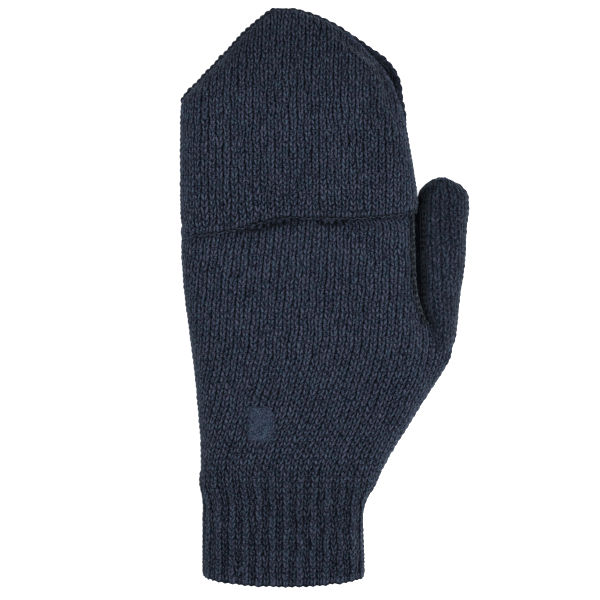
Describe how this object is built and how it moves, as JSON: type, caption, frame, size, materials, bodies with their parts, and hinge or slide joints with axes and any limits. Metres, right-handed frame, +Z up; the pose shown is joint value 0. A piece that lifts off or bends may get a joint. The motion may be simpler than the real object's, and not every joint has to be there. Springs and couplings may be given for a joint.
{
  "type": "convertible flip-top mitten",
  "caption": "Knitted left-hand mitten: a fingerless glove with a cap that flips back over the knuckles onto a hook patch, a swinging thumb and a ribbed cuff.",
  "frame": {"origin": "under the middle of the mitten's bounding box, on the surface it lies on, palm down", "axes": "+Y from the cuff towards the cap's tip, +X towards the thumb, +Z up out of the back of the hand"},
  "size_m": [0.13, 0.26, 0.0258],
  "materials": {
    "knit_body": "heathered navy stockinette and rib knit, slightly fuzzy",
    "knit_edge": "rolled and linked navy knit edge",
    "hook_patch": "fuzzy grey-blue hook tape",
    "sewing_thread": "dark navy polyester thread",
    "elastic_thread": "covered elastic thread",
    "label": "blank woven satin label"
  },
  "bodies": {
    "hand": {"cuff_edge_band": "knit_edge", "cuff_rib": "knit_body", "cuff_elastic": "elastic_thread", "care_label": "label", "care_label_stitches": "sewing_thread", "hand_tube": "knit_body", "thumb_crotch_stitches": "sewing_thread", "little_stub": "knit_body", "ring_stub": "knit_body", "middle_stub": "knit_body", "index_stub": "knit_body", "little_edge_band": "knit_edge", "ring_edge_band": "knit_edge", "middle_edge_band": "knit_edge", "index_edge_band": "knit_edge", "finger_crotch_stitches": "sewing_thread", "cap_hinge_hem": "knit_edge", "hinge_stitches": "sewing_thread", "hinge_bar_tacks": "sewing_thread", "fastener_patch": "hook_patch", "fastener_hooks": "hook_patch", "fastener_stitching": "sewing_thread"},
    "thumb": {"thumb_tube": "knit_body", "thumb_tip_closure": "knit_body"},
    "cap": {"cap_back_panel": "knit_body", "cap_palm_panel": "knit_body", "cap_palm_hem": "knit_edge", "cap_edge_seam": "knit_edge", "cap_tip_closure": "knit_edge"}
  },
  "joints": [
    {"name": "cap_flip", "type": "hinge", "parent": "hand", "child": "cap", "pos_m": [0, 0.036, 0.024], "axis": [1, 0, 0], "range_deg": [0, 178]},
    {"name": "thumb_swing", "type": "hinge", "parent": "hand", "child": "thumb", "pos_m": [0.0486, -0.022, 0.01], "axis": [0, 0, -1], "range_deg": [0, 35]}
  ]
}
